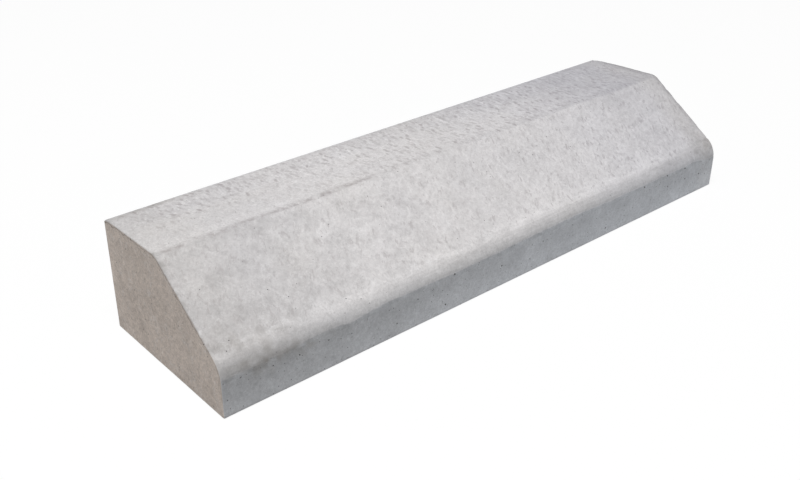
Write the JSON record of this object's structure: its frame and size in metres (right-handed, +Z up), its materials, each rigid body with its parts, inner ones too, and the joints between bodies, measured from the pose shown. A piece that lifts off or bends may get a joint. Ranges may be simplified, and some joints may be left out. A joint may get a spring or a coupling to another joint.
{
  "type": "mountable concrete kerb stone",
  "caption": "Long cast concrete kerb block with a flat tread, a sloping splay, a rounded nose and a low upright front face.",
  "frame": {"origin": "centre of the bed, the flat face that the stone is laid on", "axes": "+X along the stone, -Y towards the road side with the splay and nose, +Y towards the upright back face, +Z up"},
  "size_m": [0.9, 0.24, 0.15],
  "materials": {
    "concrete": "matt, light grey cast concrete: mottled tread and splay with fine dimples and pinholes, smoother blue-grey front face, warmer brown-grey end faces"
  },
  "bodies": {
    "root": {"kerb_stone": "concrete"}
  },
  "joints": []
}
